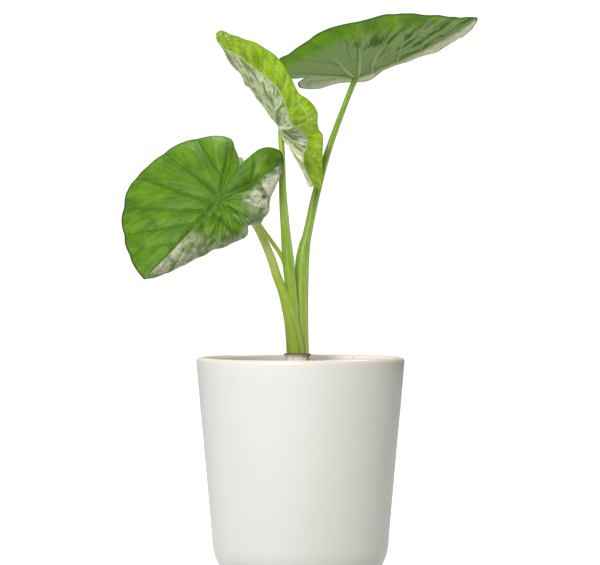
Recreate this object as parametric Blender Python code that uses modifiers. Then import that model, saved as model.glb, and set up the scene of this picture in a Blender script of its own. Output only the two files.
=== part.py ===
# Potted elephant-ear plant: three large leaves and a young one on stems that clasp each other
# at a short crown, in a white glazed pot. Metres, +Z up, the viewer on the -Y side.
# The origin is the middle of the pot's flat base.

import math

import bmesh
import bpy
import numpy as np

MM = 0.001
GAP = 0.0003

# Pot: a thrown wall with a rounded lip, a straight taper and a curved heel
POT_HEIGHT = 0.184
POT_RIM_RADIUS = 0.085
POT_TAPER = 0.087
POT_WALL = 0.0065
POT_FLOOR = 0.009
HEEL_HEIGHT = 0.037
HEEL_DEPTH = 0.028
FLOOR_RADIUS = 0.032
POT_SIDES = 48

# Soil and crown
SOIL_LEVEL = 0.169
SOIL_MOUND = 0.002
SOIL_SLACK = 0.0013
CROWN_CENTRE = (-0.0025, -0.001)
CROWN_RADIUS = 0.0112
CROWN_TOP = 0.1872
CROWN_FOOT = 0.150
CROWN_RINGS = 3
RING_PITCH = 0.0068
RING_DEPTH = 0.0012
CROWN_SIDES = 24

# Stems: points along each middle line, as x, y, z and radius in millimetres
STEM_FOOT = CROWN_TOP + GAP
STEM_ROUNDNESS = 4
STEM_STEPS = 22
CUTTER_REACH = 3.0 * MM
STEMS = {
    "petiole_left": [
        (-3.6, -4.5, 178, 7.6), (-4.6, -4.8, 195, 7.2), (-6.8, -5.2, 210, 6.2), (-10, -6, 223, 5.0),
        (-14.2, -7, 237, 4.0), (-19.5, -8, 251, 3.6), (-24, -9, 265, 3.4), (-30.2, -10, 279.5, 3.1),
        (-37.5, -12, 292.4, 2.5), (-47, -17.5, 302, 2.2), (-57, -30, 306.5, 2.1), (-63.1, -44.2, 310.8, 2.3),
    ],
    "petiole_middle": [
        (-3.5, 0, 178, 4.5), (-5.5, -2, 215, 4.6), (-8.3, -4, 244.6, 4.6), (-10, -5, 261.7, 4.8),
        (-12.3, -8, 287.7, 3.8), (-14.3, -11, 316, 3.1), (-15.3, -14, 352.6, 2.4), (-16.0, -15, 366.3, 2.2),
    ],
    "petiole_right": [
        (0.8, 2.4, 178, 6.2), (0.7, 2.8, 215, 5.6), (0.9, 5, 244, 5.6), (1.4, 7, 262, 5.6),
        (3.2, 9, 275, 4.7), (5.4, 11, 284, 3.7), (12.4, 20, 316.5, 3.4), (23.3, 33, 355.3, 2.7),
        (38.9, 52, 398.4, 2.2), (46.2, 59, 416.4, 2.4),
    ],
    "petiole_young": [
        (-4.5, 8, 178, 2.2), (-6.5, 8, 222, 2.2), (-10, 7.5, 250, 1.9), (-16, 6.5, 267, 1.8),
        (-24.5, 6, 279.6, 1.7), (-33.2, 5.5, 292, 1.6), (-41.5, 3, 306, 1.5), (-46.3, 1.8, 317.6, 1.5),
    ],
}

# Which older stem clasps which younger one at its foot, and is hollowed to fit it
CLASPS = [
    ("petiole_right", "petiole_middle"),
    ("petiole_right", "petiole_young"),
    ("petiole_left", "petiole_middle"),
    ("petiole_left", "petiole_right"),
]

# Leaves: the joint with the stem, which way round the first half runs seen from above, the mesh
# columns for each vein and rows out to the edge, and for each half the edge from the tip round to
# the notch behind the joint, as x, y, z and the arch of the blade on the way there, in millimetres
BLADE_THICKNESS = 0.8 * MM
RIB_THICKNESS = 2.2 * MM
QUILT_HEIGHT = 0.5 * MM
EDGE_WAVE = 1.0 * MM
EDGE_SCALLOP = 0.014
FOLD_BLEND = 0.1
EDGE_STEP = 0.02
VEINS_PER_HALF = 7
LEAVES = {
    "blade_left": {
        "joint": (-63.5, -46, 312),
        "turn": -1,
        "mesh": (4, 9),
        "first": [
            (-123, -75, 247, 3), (-135, -59, 266, 4), (-142, -41, 291, 5), (-141, -28, 311, 5),
            (-135, -19, 327, 5), (-122, -14, 340, 5), (-106, -9, 354, 5), (-90, -8, 361, 5),
            (-75, -10, 363, 4), (-64, -10, 364, 4), (-56, -12, 361, 3), (-53, -16, 353, 2),
            (-50, -22, 344, 1), (-50, -31, 335, 0),
        ],
        "second": [
            (-123, -75, 247, 3), (-111, -62, 251, 8), (-99, -50, 258, 13), (-85, -37, 269, 17),
            (-72, -33, 278, 22), (-56, -30, 285, 27), (-42, -28, 293, 30), (-32, -26, 304, 31),
            (-24, -24, 318, 26), (-17, -23, 330, 18), (-14, -23, 341, 8), (-16, -29, 350, 3),
            (-24, -31, 353, 2), (-32, -32, 352, 1), (-40, -33, 347, 1), (-45, -34, 340, 0),
            (-50, -31, 335, 0),
        ],
    },
    "blade_middle": {
        "joint": (-15.5, -15, 371.5),
        "turn": 1,
        "mesh": (4, 9),
        "first": [
            (-69, -10, 448, -1), (-65, -24, 436, -1), (-48, -38, 425, -2), (-34, -46, 414, -3),
            (-23, -50, 404, -4), (-15, -52, 395, -4), (-11, -52, 383, -4), (-7, -52, 372, -4),
            (0, -48, 367, -4), (6, -43, 361, -4), (8, -37, 353, -4), (8, -30, 343, -3),
            (9, -25, 332, -2), (12, -22, 322, -1), (7, -21, 323, 0), (3, -19, 334, 0), (-3, -13, 348, 0),
        ],
        "second": [
            (-69, -10, 448, -1), (-64, -3, 450, -1), (-54, 6, 447, -2), (-42, 13, 444, -4),
            (-27, 18, 437, -5), (-17, 19, 428, -5), (-10, 19, 418, -6), (-5, 19, 408, -5),
            (0, 19, 400, -5), (7, 19, 395, -4), (14, 19, 386, -4), (14, 17, 376, -4), (18, 14, 366, -3),
            (18, 9, 354, -3), (18, 4, 343, -2), (18, -2, 331, -1), (16, -7, 322, 0), (10, -10, 324, 0),
            (3, -11, 335, 0), (-3, -13, 348, 0),
        ],
    },
    "blade_right": {
        "joint": (47, 60, 418.5),
        "turn": -1,
        "mesh": (4, 9),
        "first": [
            (146, 11, 463, -4), (134, 6, 462, -4), (122, 1, 462, -4), (97, -7, 463, -3), (73, -11, 463, -3),
            (56, -11, 459, -3), (32, -8, 454, -3), (16, 0, 449, -3), (4, 9, 442, -2), (-6, 20, 436, -2),
            (-17, 33, 431, -2), (-20, 43, 424, -1), (-16, 53, 418, 0), (-7, 61, 417, 0), (6, 70, 419, 0),
        ],
        "second": [
            (146, 11, 463, -4), (145, 26, 460, -2), (141, 50, 455, 0), (134, 75, 452, 2), (124, 98, 448, 3),
            (115, 114, 444, 4), (104, 125, 442, 5), (92, 133, 438, 5), (79, 139, 435, 5), (70, 141, 430, 5),
            (59, 140, 424, 5), (45, 136, 422, 5), (31, 130, 419, 4), (15, 118, 414, 4), (1, 104, 413, 3),
            (-2, 94, 416, 2), (1, 84, 418, 1), (6, 70, 419, 0),
        ],
    },
    "blade_young": {
        "joint": (-47, 4, 319),
        "turn": 1,
        "mesh": (2, 6),
        "first": [
            (-76, -3, 285, 1), (-80, 4, 298, 2), (-77, 10, 313, 2), (-70, 13, 327, 2), (-60, 14, 338, 2),
            (-51, 13, 345, 2), (-47, 11, 343, 1), (-46, 8, 336, 0),
        ],
        "second": [
            (-76, -3, 285, 1), (-64, 6, 286, 2), (-53, 12, 291, 2), (-44, 17, 302, 2), (-38, 18, 315, 2),
            (-37, 17, 328, 2), (-39, 14, 338, 2), (-43, 11, 340, 1), (-46, 8, 336, 0),
        ],
    },
}


def clear_scene():
    for thing in list(bpy.data.objects):
        bpy.data.objects.remove(thing, do_unlink=True)


def new_collection(name):
    collection = bpy.data.collections.new(name)
    bpy.context.scene.collection.children.link(collection)
    return collection


def material(name, colour, roughness):
    finish = bpy.data.materials.new(name)
    finish.use_nodes = True
    shader = finish.node_tree.nodes["Principled BSDF"]
    shader.inputs["Base Color"].default_value = (*colour, 1.0)
    shader.inputs["Roughness"].default_value = roughness
    shader.inputs["Metallic"].default_value = 0.0
    return finish


def add_object(name, mesh, collection, finish):
    piece = bpy.data.objects.new(name, mesh)
    collection.objects.link(piece)
    mesh.materials.clear()
    mesh.materials.append(finish)
    mesh.shade_smooth()
    mesh.set_sharp_from_angle(angle=math.radians(40))
    return piece


def arc(centre, radii, start, end, steps):
    angles = np.radians(np.linspace(start, end, steps + 1))
    return [(centre[0] + radii[0] * math.cos(a), centre[1] + radii[1] * math.sin(a)) for a in angles]


def turned(name, profile, sides, collection, finish, centre=(0.0, 0.0)):
    """A solid turned about the vertical through centre, from radius and height pairs, top to bottom."""
    mesh = bpy.data.meshes.new(name)
    shape = bmesh.new()
    corners = [shape.verts.new((radius, 0.0, height)) for radius, height in profile]
    for upper, lower in zip(corners, corners[1:]):
        shape.edges.new((upper, lower))
    shape.to_mesh(mesh)
    shape.free()
    piece = add_object(name, mesh, collection, finish)
    piece.location = (*centre, 0.0)
    screw = piece.modifiers.new("turn", "SCREW")
    screw.axis = "Z"
    screw.steps = sides
    screw.render_steps = sides
    screw.use_merge_vertices = True
    screw.merge_threshold = 0.00005
    screw.use_smooth_shade = True
    return piece


def wall_radius(height):
    """The pot's outer radius on the straight taper at a height."""
    return POT_RIM_RADIUS - POT_TAPER * (POT_HEIGHT - height)


def pot_profile():
    """Up the inside from the middle of the floor, over the lip, and down the outside to the base."""
    lip = POT_WALL / 2
    top_inside = wall_radius(POT_HEIGHT) - POT_WALL
    low_outside = wall_radius(HEEL_HEIGHT)
    hollow = (low_outside - POT_WALL - FLOOR_RADIUS, HEEL_HEIGHT - POT_FLOOR)
    profile = [(0.0, POT_FLOOR), (FLOOR_RADIUS, POT_FLOOR)]
    profile += arc((FLOOR_RADIUS, HEEL_HEIGHT), hollow, -72, 0, 4)
    profile += arc((top_inside + lip, POT_HEIGHT - lip), (lip, lip), 180, 0, 6)
    profile += arc((low_outside - HEEL_DEPTH, HEEL_HEIGHT), (HEEL_DEPTH, HEEL_HEIGHT), 0, -90, 7)
    profile.append((0.0, 0.0))
    return profile


def soil_profile():
    """The fill of the pot, with a plain hole where the crown stands."""
    clear = POT_WALL + GAP
    edge = wall_radius(SOIL_LEVEL) - clear
    low = wall_radius(HEEL_HEIGHT) - clear
    bottom = POT_FLOOR + SOIL_SLACK
    heel = (low - FLOOR_RADIUS - SOIL_SLACK, HEEL_HEIGHT - bottom)
    profile = [(0.0, SOIL_LEVEL + SOIL_MOUND), (0.020, SOIL_LEVEL + SOIL_MOUND), (0.045, SOIL_LEVEL)]
    profile += [(edge - 4.0 * MM, SOIL_LEVEL - 1.0 * MM), (edge, SOIL_LEVEL - 3.0 * MM)]
    profile += arc((FLOOR_RADIUS, HEEL_HEIGHT), heel, 0, -72, 4)
    profile += [(FLOOR_RADIUS, bottom), (0.0, bottom)]
    return profile


def crown_profile():
    """The short base of the plant, ringed where old leaves came away."""
    waist = CROWN_RADIUS - RING_DEPTH
    profile = [(0.0, CROWN_TOP)]
    for ring in range(CROWN_RINGS):
        upper = CROWN_TOP - ring * RING_PITCH
        profile += [(CROWN_RADIUS, upper), (CROWN_RADIUS, upper - 1.5 * MM)]
        profile += [(waist, upper - 2.5 * MM), (waist, upper - RING_PITCH + 1.0 * MM)]
    profile += [(waist - 1.0 * MM, CROWN_FOOT + 6.0 * MM), (waist - 5.0 * MM, CROWN_FOOT), (0.0, CROWN_FOOT)]
    return profile


def crown_hole_profile():
    wide = CROWN_RADIUS + GAP
    above = SOIL_LEVEL + 20.0 * MM
    return [(0.0, above), (wide, above), (wide, CROWN_FOOT - GAP), (0.0, CROWN_FOOT - GAP)]


def curve_at(given, place):
    """A cubic curve through the given rows, at a place from 0 to 1 along it."""
    gaps = np.linalg.norm(np.diff(given[:, :3], axis=0), axis=1) ** 0.5
    knots = np.concatenate([[0.0], np.cumsum(gaps)]) / gaps.sum()
    last = len(given) - 1
    index = min(int(np.searchsorted(knots, place, side="right")) - 1, last - 1)
    index = max(index, 0)

    def slope(i):
        before, after = max(i - 1, 0), min(i + 1, last)
        return (given[after] - given[before]) / (knots[after] - knots[before])

    width = knots[index + 1] - knots[index]
    t = (place - knots[index]) / width
    return (
        (2 * t**3 - 3 * t**2 + 1) * given[index]
        + (t**3 - 2 * t**2 + t) * width * slope(index)
        + (3 * t**2 - 2 * t**3) * given[index + 1]
        + (t**3 - t**2) * width * slope(index + 1)
    )


def stem_mesh(name, points, extra=0.0, reach=0.0):
    """A tapered tube along the points, cut level at the crown, as one closed mesh."""
    given = np.array(points, float)
    route = [curve_at(given, step) for step in np.linspace(0.0, 1.0, STEM_STEPS)]
    curve = bpy.data.curves.new(name + "_line", "CURVE")
    curve.dimensions = "3D"
    curve.bevel_depth = 1.0
    curve.bevel_resolution = STEM_ROUNDNESS
    curve.use_fill_caps = True
    spline = curve.splines.new("POLY")
    spline.points.add(len(route) - 1)
    for point, (x, y, z, radius) in zip(spline.points, route):
        point.co = (x * MM, y * MM, z * MM, 1.0)
        point.radius = radius * MM + extra
    line = bpy.data.objects.new(name + "_line", curve)
    bpy.context.scene.collection.objects.link(line)
    graph = bpy.context.evaluated_depsgraph_get()
    mesh = bpy.data.meshes.new_from_object(line.evaluated_get(graph))
    mesh.name = name
    bpy.data.objects.remove(line, do_unlink=True)
    shape = bmesh.new()
    shape.from_mesh(mesh)
    bmesh.ops.remove_doubles(shape, verts=shape.verts, dist=0.00001)
    level = STEM_FOOT - reach
    bmesh.ops.bisect_plane(shape, geom=shape.verts[:] + shape.edges[:] + shape.faces[:],
                           plane_co=(0, 0, level), plane_no=(0, 0, -1), clear_outer=True)
    bmesh.ops.holes_fill(shape, edges=[e for e in shape.edges if e.is_boundary])
    bmesh.ops.recalc_face_normals(shape, faces=shape.faces)
    shape.to_mesh(mesh)
    shape.free()
    return mesh


def cut(piece, cutter):
    boolean = piece.modifiers.new("clear_" + cutter.name, "BOOLEAN")
    boolean.operation = "DIFFERENCE"
    boolean.solver = "EXACT"
    boolean.object = cutter


def as_guide(piece):
    """A cutter is shown as wires and isn't part of the model."""
    piece.hide_render = True
    piece.display_type = "WIRE"
    return piece


def ray(leaf, half, place):
    """The vector from the joint to the edge, the arch and its direction, on one half of a leaf."""
    edge = leaf[half]
    joint = leaf["joint"]
    side = leaf["turn"] if half == "first" else -leaf["turn"]
    here = curve_at(edge, place)
    ahead = curve_at(edge, min(place + EDGE_STEP, 1.0))[:3]
    behind = curve_at(edge, max(place - EDGE_STEP, 0.0))[:3]
    out = here[:3] - joint
    across = np.cross(out, ahead - behind) * side
    return out, here[3], across / np.linalg.norm(across)


def blade_point(leaf, turn, reach):
    """A point of the upper side: turn runs -1 to 0 to 1 round the edge, reach 0 to 1 along a vein."""
    half = "first" if turn >= 0.0 else "second"
    out, arch, normal = ray(leaf, half, abs(turn))
    if abs(turn) < FOLD_BLEND:
        tip_normal = ray(leaf, "first", 0.0)[2] + ray(leaf, "second", 0.0)[2]
        tip_normal /= np.linalg.norm(tip_normal)
        share = abs(turn) / FOLD_BLEND
        normal = normal * share + tip_normal * (1.0 - share)
        normal /= np.linalg.norm(normal)
    between_veins = abs(math.sin(math.pi * VEINS_PER_HALF * turn))
    quilt = QUILT_HEIGHT * between_veins * math.sin(math.pi * reach)
    wave = EDGE_WAVE * math.sin(2.0 * math.pi * VEINS_PER_HALF * turn) * reach**5
    scallop = 1.0 + EDGE_SCALLOP * between_veins * reach**6
    lift = 4.0 * reach * (1.0 - reach) * arch * MM + quilt + wave
    return leaf["joint"] * MM + out * MM * reach * scallop + normal * lift


def rib_weight(turn, reach):
    """How much thicker the blade is over a vein: most at the midrib and near the joint."""
    vein = abs(turn) * VEINS_PER_HALF
    on_vein = abs(vein - round(vein)) < 0.01
    if abs(turn) < 0.001:
        return 1.0 - 0.6 * reach
    if on_vein and abs(turn) < 0.99:
        return 0.62 - 0.25 * reach
    return BLADE_THICKNESS / RIB_THICKNESS


def blade(name, collection, finish):
    given = LEAVES[name]
    leaf = {key: np.array(value, float) for key, value in given.items()}
    columns_per_vein, rows = given["mesh"]
    columns = 2 * VEINS_PER_HALF * columns_per_vein
    mesh = bpy.data.meshes.new(name)
    shape = bmesh.new()
    bmesh.ops.create_grid(shape, x_segments=columns, y_segments=rows, size=1.0)
    weights = shape.verts.layers.deform.verify()
    for vert in shape.verts:
        turn = round(vert.co.x, 5)
        reach = (vert.co.y + 1.0) / 2.0
        vert[weights][0] = rib_weight(turn, reach)
        vert.co = blade_point(leaf, turn, reach)
    bmesh.ops.remove_doubles(shape, verts=shape.verts, dist=0.00002)
    bmesh.ops.triangulate(shape, faces=shape.faces)
    if given["turn"] > 0:
        bmesh.ops.reverse_faces(shape, faces=shape.faces)
    shape.to_mesh(mesh)
    shape.free()
    piece = add_object(name, mesh, collection, finish)
    piece.vertex_groups.new(name="ribs")
    thick = piece.modifiers.new("thickness", "SOLIDIFY")
    thick.thickness = RIB_THICKNESS
    thick.vertex_group = "ribs"
    thick.offset = -1.0
    thick.use_rim = True
    return piece


def build():
    clear_scene()
    plant = new_collection("potted_plant")
    cutters = new_collection("cutters")

    glaze = material("white_glaze", (0.80, 0.79, 0.76), 0.25)
    earth = material("potting_soil", (0.055, 0.035, 0.022), 0.95)
    husk = material("crown_husk", (0.20, 0.17, 0.07), 0.8)
    stem_green = material("stem_green", (0.30, 0.44, 0.08), 0.45)
    leaf_green = material("leaf_green", (0.10, 0.28, 0.02), 0.38)
    young_green = material("young_leaf_green", (0.36, 0.55, 0.03), 0.38)

    turned("pot", pot_profile(), POT_SIDES, plant, glaze)
    soil = turned("soil", soil_profile(), POT_SIDES, plant, earth)
    turned("crown", crown_profile(), CROWN_SIDES, plant, husk, CROWN_CENTRE)
    hole = turned("crown_hole", crown_hole_profile(), CROWN_SIDES, cutters, husk, CROWN_CENTRE)
    cut(soil, as_guide(hole))

    stems = {}
    for name, points in STEMS.items():
        stems[name] = add_object(name, stem_mesh(name, points), plant, stem_green)
    spaces = {}
    for name in ("petiole_middle", "petiole_right", "petiole_young"):
        mesh = stem_mesh(name + "_space", STEMS[name], GAP, CUTTER_REACH)
        spaces[name] = as_guide(add_object(name + "_space", mesh, cutters, stem_green))
    for outer, inner in CLASPS:
        cut(stems[outer], spaces[inner])

    for name in LEAVES:
        blade(name, plant, young_green if name == "blade_middle" else leaf_green)


build()
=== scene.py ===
import math
import random
from types import SimpleNamespace

import bmesh
import bpy
import numpy as np
from mathutils import Matrix, Vector, noise


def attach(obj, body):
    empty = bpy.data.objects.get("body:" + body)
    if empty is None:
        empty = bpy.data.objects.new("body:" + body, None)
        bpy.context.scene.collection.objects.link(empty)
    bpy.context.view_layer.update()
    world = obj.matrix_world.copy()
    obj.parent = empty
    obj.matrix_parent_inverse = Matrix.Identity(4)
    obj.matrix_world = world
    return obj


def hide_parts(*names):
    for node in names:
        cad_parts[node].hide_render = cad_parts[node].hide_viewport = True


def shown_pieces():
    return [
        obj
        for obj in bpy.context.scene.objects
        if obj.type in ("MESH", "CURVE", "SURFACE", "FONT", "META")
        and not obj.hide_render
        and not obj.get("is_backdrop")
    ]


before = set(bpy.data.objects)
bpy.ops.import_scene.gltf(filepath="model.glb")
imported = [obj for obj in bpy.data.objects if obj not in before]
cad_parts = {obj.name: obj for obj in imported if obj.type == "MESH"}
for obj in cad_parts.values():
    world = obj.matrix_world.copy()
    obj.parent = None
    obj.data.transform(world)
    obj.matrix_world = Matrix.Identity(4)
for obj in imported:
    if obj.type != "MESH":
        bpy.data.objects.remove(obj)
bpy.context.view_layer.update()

MM = 0.001

# Camera
# A long lens a little above the rim of the pot and level, as in the photograph. The place and the
# lens come from the width of the pot and the bow of its rim.
CAMERA_PLACE = (-0.0004, -1.8, 0.245)
CAMERA_LENS = 132.2


def link_object(name, data):
    """An object for a camera, a lamp or a mesh, put in the scene."""
    thing = bpy.data.objects.new(name, data)
    bpy.context.scene.collection.objects.link(thing)
    return thing


camera = link_object("camera", bpy.data.cameras.new("camera"))
camera.location = CAMERA_PLACE
camera.rotation_euler = (math.radians(90.0), 0.0, 0.0)
camera.data.sensor_width = 36.0
camera.data.lens = CAMERA_LENS
bpy.context.scene.camera = camera

# Studio
# A white floor under a white sky that is dimmer and warmer on the right, one large soft light in
# front on the left, one above and behind that shines through the leaves, and one low on the right
# that only the plant catches, for the silver gloss on its leaves.
FLOOR_REACH = 2.6
FLOOR_GLOW = 0.75
SKY_SEEN = 1.15
SKY_LIGHT = 0.44
SKY_LIGHT_RIGHT = 0.11
SKY_WARM = (1.0, 0.74, 0.60)
FLOOR_GREY = (0.62, 0.62, 0.61)
WHITE = (1.0, 1.0, 1.0)
# each light's place, aim and size in metres, its power in watts and its colour
LIGHTS = {
    "key": ((-0.62, -2.15, 1.85), (0.0, 0.0, 0.22), 1.1, 63.0, (1.0, 1.0, 0.98)),
    "through": ((0.2, 1.2, 1.9), (0.0, 0.0, 0.40), 1.1, 30.0, (1.0, 1.0, 0.95)),
    "gloss": ((1.9, 0.35, 0.15), (0.0, 0.0, 0.32), 1.6, 26.0, (1.0, 0.98, 0.95)),
}
PLANT_ONLY = ("gloss",)


def fill(tree, node, inputs):
    """Gives a node its inputs, by name or number: each a socket to link, a number or a colour."""
    for name, value in inputs.items():
        if isinstance(value, bpy.types.NodeSocket):
            tree.links.new(value, node.inputs[name])
        elif node.inputs[name].type == "RGBA":
            node.inputs[name].default_value = (*value, 1.0)
        else:
            node.inputs[name].default_value = value


def add_node(tree, kind, inputs=None, **settings):
    """A new shader node of a kind, with its settings made and its inputs filled."""
    node = tree.nodes.new("ShaderNode" + kind)
    for name, value in settings.items():
        setattr(node, name, value)
    fill(tree, node, inputs or {})
    return node


def map_range(tree, value, start, end, low=0.0, high=1.0):
    """Maps a value from start..end on to low..high, held at the ends. Each may be a socket."""
    inputs = {"Value": value, "From Min": start, "From Max": end, "To Min": low, "To Max": high}
    return add_node(tree, "MapRange", inputs).outputs["Result"]


def mix_colour(tree, factor, below, above, blend="MIX"):
    """Mixes two colours, each a socket or a colour, by a socket or a number. Gives the result."""
    # its sockets share their names, so they go by number: 0 the factor, 6 and 7 the colours, 2 the result
    inputs = {0: factor, 6: below, 7: above}
    return add_node(tree, "Mix", inputs, data_type="RGBA", blend_type=blend).outputs[2]


def new_material(name):
    """A node material: the material, its node tree and its main shader."""
    material = bpy.data.materials.new(name)
    material.use_nodes = True
    return material, material.node_tree, material.node_tree.nodes["Principled BSDF"]


def shape_object(name, shape):
    """An object for a finished bmesh, put in the scene."""
    mesh = bpy.data.meshes.new(name)
    shape.to_mesh(mesh)
    shape.free()
    return link_object(name, mesh)


def aimed(place, target):
    """The turn that points a light from its place at a target."""
    return (Vector(target) - Vector(place)).to_track_quat("-Z", "Y").to_euler()


lit_plant = bpy.data.collections.new("lit_plant")
for name, (place, aim, size, power, colour) in LIGHTS.items():
    lamp = bpy.data.lights.new(name, "AREA")
    lamp.shape = "DISK"
    lamp.size = size
    lamp.energy = power
    lamp.color = colour
    light = link_object(name, lamp)
    light.location = place
    light.rotation_euler = aimed(place, aim)
    if name in PLANT_ONLY:
        light.light_linking.receiver_collection = lit_plant

sky = bpy.data.worlds.new("sky")
sky.use_nodes = True
tree = sky.node_tree
sky_axes = add_node(tree, "SeparateXYZ", {"Vector": add_node(tree, "TexCoord").outputs["Generated"]})
sky_side = map_range(tree, sky_axes.outputs["X"], -0.1, 0.7)
sky_lit = map_range(tree, sky_side, 0.0, 1.0, SKY_LIGHT, SKY_LIGHT_RIGHT)
sky_seen = add_node(tree, "LightPath").outputs["Is Camera Ray"]
sky_power = map_range(tree, sky_seen, 0.0, 1.0, sky_lit, SKY_SEEN)
sky_tint = mix_colour(tree, sky_side, WHITE, SKY_WARM)
sky_colour = mix_colour(tree, sky_seen, sky_tint, WHITE)
fill(tree, tree.nodes["Background"], {"Color": sky_colour, "Strength": sky_power})
bpy.context.scene.world = sky
bpy.context.scene.view_settings.view_transform = "Standard"

floor_shape = bmesh.new()
bmesh.ops.create_circle(floor_shape, cap_ends=True, radius=FLOOR_REACH, segments=64)
floor = shape_object("floor", floor_shape)
floor_paper, tree, shader = new_material("floor_paper")
floor_seen = add_node(tree, "LightPath").outputs["Is Camera Ray"]
fill(tree, shader, {
    "Base Color": FLOOR_GREY,
    "Roughness": 0.9,
    "Emission Color": WHITE,
    "Emission Strength": map_range(tree, floor_seen, 0.0, 1.0, 0.0, FLOOR_GLOW),
})
floor.data.materials.append(floor_paper)
floor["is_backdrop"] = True

# Pot
# One thrown planter of white earthenware with a rounded lip, a straight taper and a curved heel,
# glazed all over. The lip is cream over its crest, with a painted shade line just inside it, and
# the inside is painted lighter than the glaze outside: painted light where the pot's wall shades it.
POT_HEIGHT = 0.184
POT_RIM_RADIUS = 0.085
POT_TAPER = 0.087
POT_WALL = 0.0065
POT_FLOOR = 0.009
HEEL_HEIGHT = 0.037
HEEL_DEPTH = 0.028
POT_FLOOR_RADIUS = 0.032
POT_SIDES = 160
WALL_BANDS = 12
GLAZE_WHITE = (0.745, 0.760, 0.735)
GLAZE_WARM = (0.86, 0.84, 0.80)
LIP_CREAM = (0.82, 0.755, 0.69)
# a painted shade line just inside the crest of the lip
LIP_SHADE_LINE = (0.66, 0.56, 0.47)
# the beige of the inside, painted lighter than the glaze outside: painted light where the wall shades it
INSIDE_BEIGE_PAINTED_LIGHT = (1.0, 0.96, 0.91)
SPECK_BROWN = (0.50, 0.44, 0.36)


def add_piece(name, shape, slot, *replaced):
    """Makes a finished piece of a bmesh: it rides on the plant and stands for the CAD nodes named."""
    piece = shape_object(name, shape)
    piece.data.shade_smooth()
    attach(piece, "root")
    if replaced:
        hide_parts(*replaced)
    return piece


def arc(centre, radii, start, end, steps):
    """Points along a quarter or so of an ellipse, from one angle to another in degrees."""
    angles = np.radians(np.linspace(start, end, steps + 1))
    return [(centre[0] + radii[0] * math.cos(a), centre[1] + radii[1] * math.sin(a)) for a in angles]


def straight(start, end, steps):
    """Evenly spaced points after start, up to and with end."""
    start, end = np.array(start), np.array(end)
    return [tuple(start + (end - start) * i / steps) for i in range(1, steps + 1)]


def spun(profile, sides, centre=(0.0, 0.0)):
    """A solid of revolution from radius and height pairs, as a bmesh with its faces outwards."""
    shape = bmesh.new()
    corners = [shape.verts.new((centre[0] + radius, centre[1], height)) for radius, height in profile]
    for upper, lower in zip(corners, corners[1:]):
        shape.edges.new((upper, lower))
    bmesh.ops.spin(shape, geom=shape.verts[:] + shape.edges[:], cent=(*centre, 0.0), dvec=(0, 0, 0),
                   axis=(0, 0, 1), angle=math.tau, steps=sides, use_merge=True)
    bmesh.ops.remove_doubles(shape, verts=shape.verts, dist=0.01 * MM)
    bmesh.ops.recalc_face_normals(shape, faces=shape.faces)
    return shape


def wall_radius(height):
    """The pot's outer radius on its straight taper at a height."""
    return POT_RIM_RADIUS - POT_TAPER * (POT_HEIGHT - height)


def ramp(tree, value, stops):
    """The colour of a value on a ramp, with the stops given as place and colour."""
    node = add_node(tree, "ValToRGB", {"Fac": value})
    while len(node.color_ramp.elements) < len(stops):
        node.color_ramp.elements.new(0.5)
    for element, (place, colour) in zip(node.color_ramp.elements, stops):
        element.position = place
        element.color = (*colour, 1.0)
    return node.outputs["Color"]


def noise_node(tree, source, scale, detail=2.0, stretch=(1.0, 1.0, 1.0)):
    """Noise over the given coordinates, stretched by axis."""
    placed = add_node(tree, "Mapping", {"Vector": source, "Scale": stretch}).outputs["Vector"]
    return add_node(tree, "TexNoise", {"Vector": placed, "Scale": scale, "Detail": detail}).outputs["Fac"]


def bump(tree, height, strength, distance):
    """A normal bent by a height."""
    inputs = {"Height": height, "Strength": strength, "Distance": distance}
    return add_node(tree, "Bump", inputs).outputs["Normal"]


lip = POT_WALL / 2
lip_centre = (wall_radius(POT_HEIGHT) - lip, POT_HEIGHT - lip)
low_inside = wall_radius(HEEL_HEIGHT) - POT_WALL
low_outside = wall_radius(HEEL_HEIGHT)
inner_heel = (low_inside - POT_FLOOR_RADIUS, HEEL_HEIGHT - POT_FLOOR)
pot_profile = [(0.0, POT_FLOOR), (POT_FLOOR_RADIUS, POT_FLOOR)]
pot_profile += arc((POT_FLOOR_RADIUS, HEEL_HEIGHT), inner_heel, -84, 0, 12)
pot_profile += straight(pot_profile[-1], (lip_centre[0] - lip, lip_centre[1]), WALL_BANDS)
pot_profile += arc(lip_centre, (lip, lip), 165, 0, 12)
pot_profile += straight(pot_profile[-1], (low_outside, HEEL_HEIGHT), WALL_BANDS)
pot_profile += arc((low_outside - HEEL_DEPTH, HEEL_HEIGHT), (HEEL_DEPTH, HEEL_HEIGHT), -6, -90, 20)
pot_profile.append((0.0, 0.0))
pot_shape = spun(pot_profile, POT_SIDES)

# how far every point lies below the crest of the lip, positive outside and negative inside
from_lip = pot_shape.verts.layers.float.new("from_lip")
for vert in pot_shape.verts:
    radius = math.hypot(vert.co.x, vert.co.y)
    drop = POT_HEIGHT - vert.co.z
    middle = wall_radius(vert.co.z) - lip
    vert[from_lip] = drop if radius > middle or vert.co.z < POT_FLOOR * 0.5 else -drop
pot = add_piece("glazed_pot", pot_shape, "glaze", "pot")

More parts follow.
